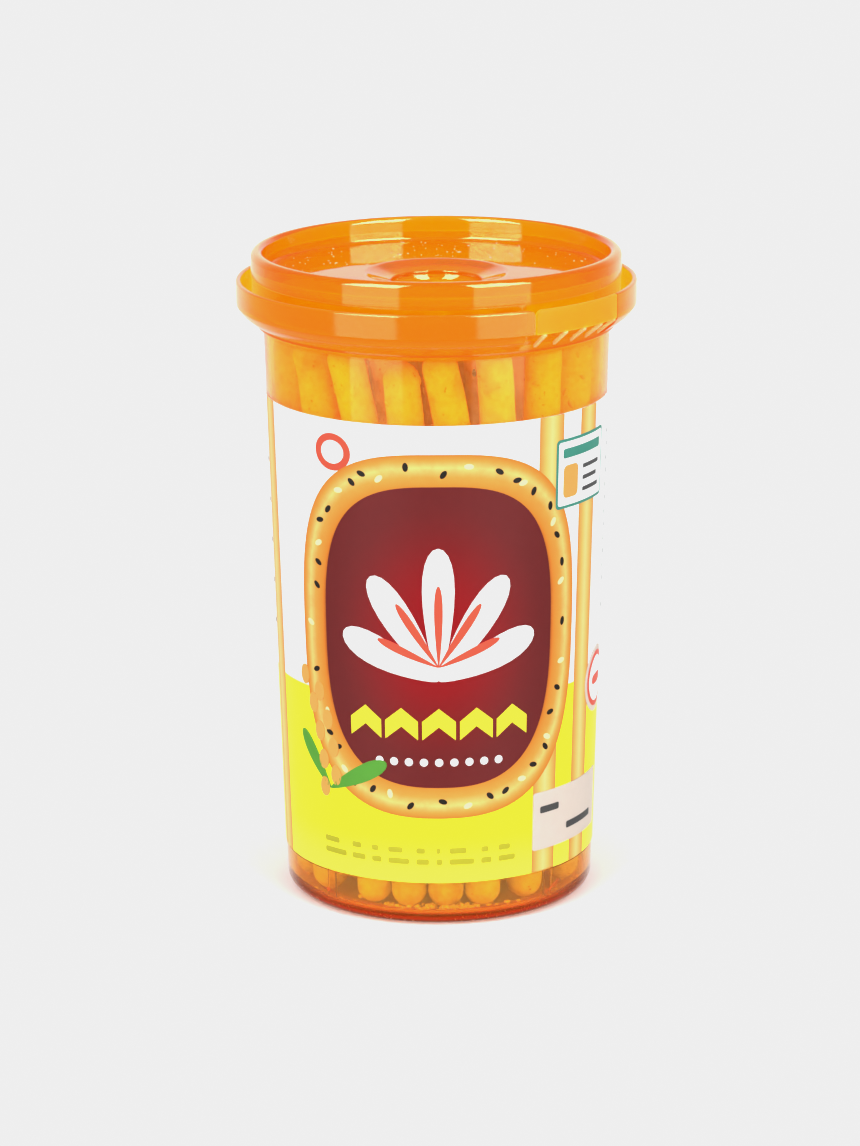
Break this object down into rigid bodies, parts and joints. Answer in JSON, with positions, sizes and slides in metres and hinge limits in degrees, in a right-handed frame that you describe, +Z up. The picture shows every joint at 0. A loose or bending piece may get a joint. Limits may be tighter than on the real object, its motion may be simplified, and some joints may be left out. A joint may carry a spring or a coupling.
{
  "type": "sesame stick tub",
  "caption": "Tapered see-through snack tub with a snap lid, a tear-off ring with a bridged tab, a wrap label and thin baked sticks standing inside.",
  "frame": {"origin": "centre of the tub's foot, on the surface that it stands on", "axes": "+Z up along the tub's axis, -Y towards the front, where the label's panel shows"},
  "size_m": [0.0888, 0.0888, 0.1465],
  "materials": {
    "amber_plastic": "clear amber, glossy, moulded",
    "lid_plastic": "clear amber, glossy, moulded",
    "printed_label": "satin printed film",
    "baked_stick": "baked biscuit, stands in for food"
  },
  "bodies": {
    "root": {"tub": "amber_plastic", "lid": "lid_plastic", "label": "printed_label", "sticks": "baked_stick"}
  },
  "joints": []
}
